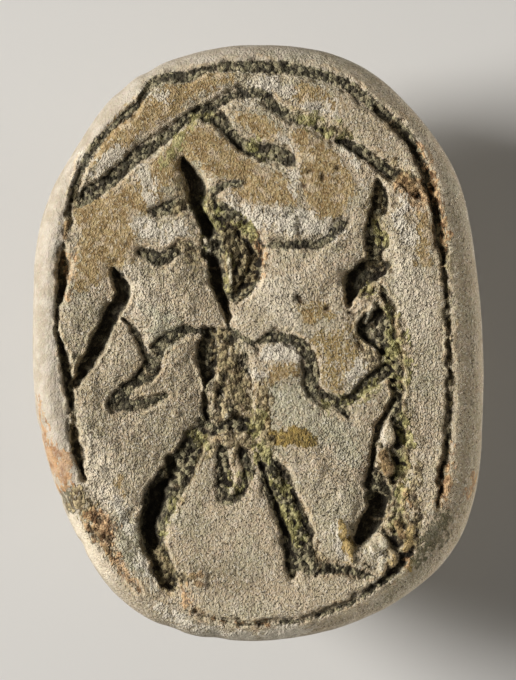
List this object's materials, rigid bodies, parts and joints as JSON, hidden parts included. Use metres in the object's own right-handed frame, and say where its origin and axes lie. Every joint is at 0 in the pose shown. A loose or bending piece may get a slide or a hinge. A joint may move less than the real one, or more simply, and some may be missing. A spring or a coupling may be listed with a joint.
{
  "type": "scarab amulet",
  "caption": "Oval steatite scarab seal, pierced lengthwise for a cord, its flat face engraved with a striding figure holding a cobra; lies on its carved back.",
  "frame": {"origin": "middle of the footprint, on the surface that the beetle's back rests on", "axes": "+Z out of the engraved face, +Y towards the beetle's head, +X to the right when the engraved face is seen with the head end up"},
  "size_m": [0.0152, 0.02, 0.0086],
  "materials": {
    "steatite": "bleached, weathered and finely granular, dark dirt in the engraving"
  },
  "bodies": {
    "root": {"scarab": "steatite"}
  },
  "joints": []
}
